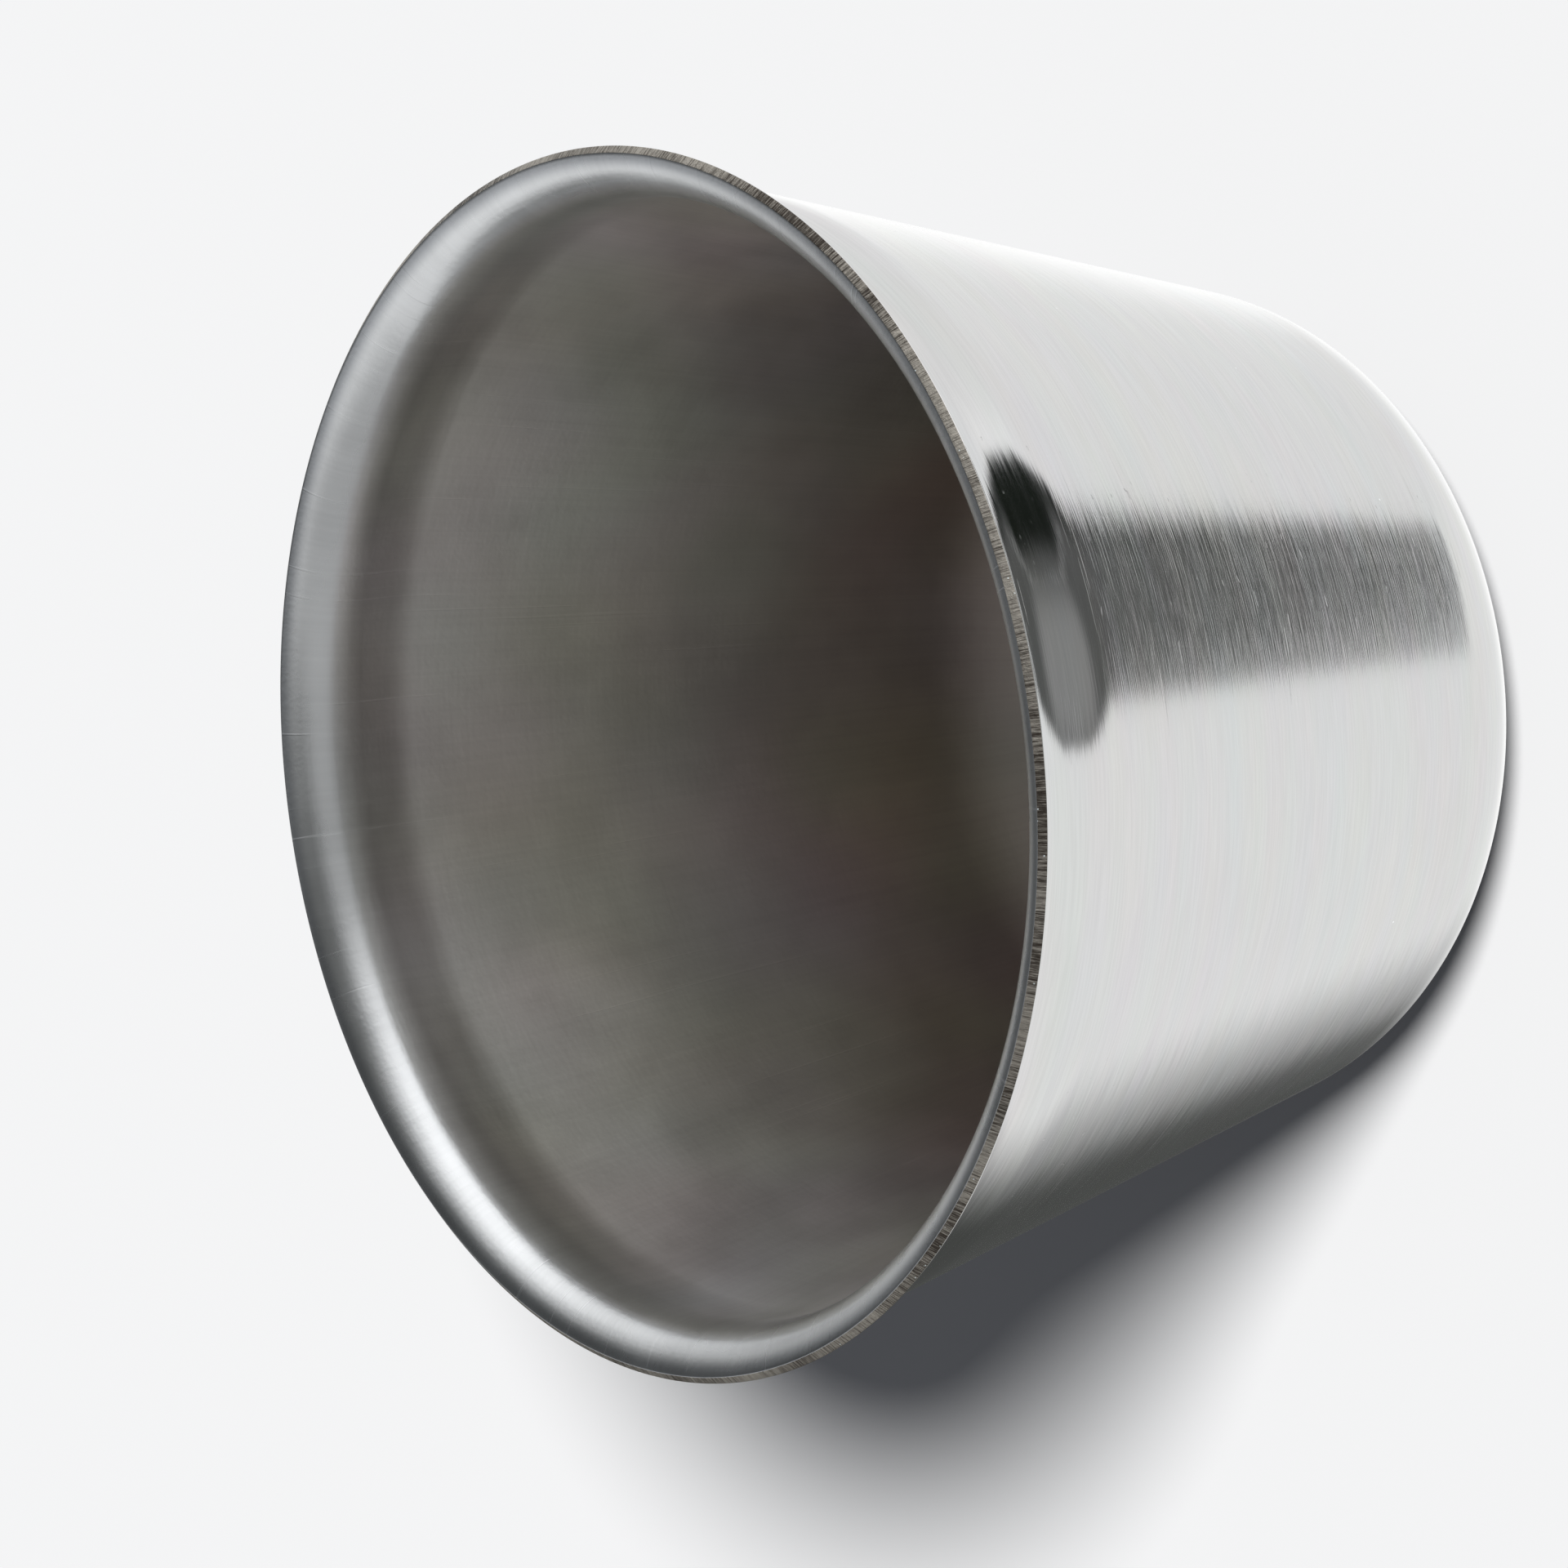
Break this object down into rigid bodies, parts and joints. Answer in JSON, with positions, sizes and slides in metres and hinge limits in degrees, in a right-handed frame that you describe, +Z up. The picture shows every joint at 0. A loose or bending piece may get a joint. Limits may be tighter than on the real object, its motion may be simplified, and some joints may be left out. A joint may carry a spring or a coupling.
{
  "type": "deep drawn metal cup",
  "caption": "Open cup drawn from one round of stainless sheet: flat foot, round heel, tapered wall, short upright collar and a flared lip with a slanting trimmed edge.",
  "frame": {"origin": "middle of the underside of the flat foot, on the cup's axis", "axes": "+Z runs up the axis and out of the mouth; X and Y are free, because the cup is a turned form"},
  "size_m": [0.08, 0.08, 0.0576],
  "materials": {
    "steel": "satin, brushed round the outside, matte inside"
  },
  "bodies": {
    "root": {"cup": "steel"}
  },
  "joints": []
}
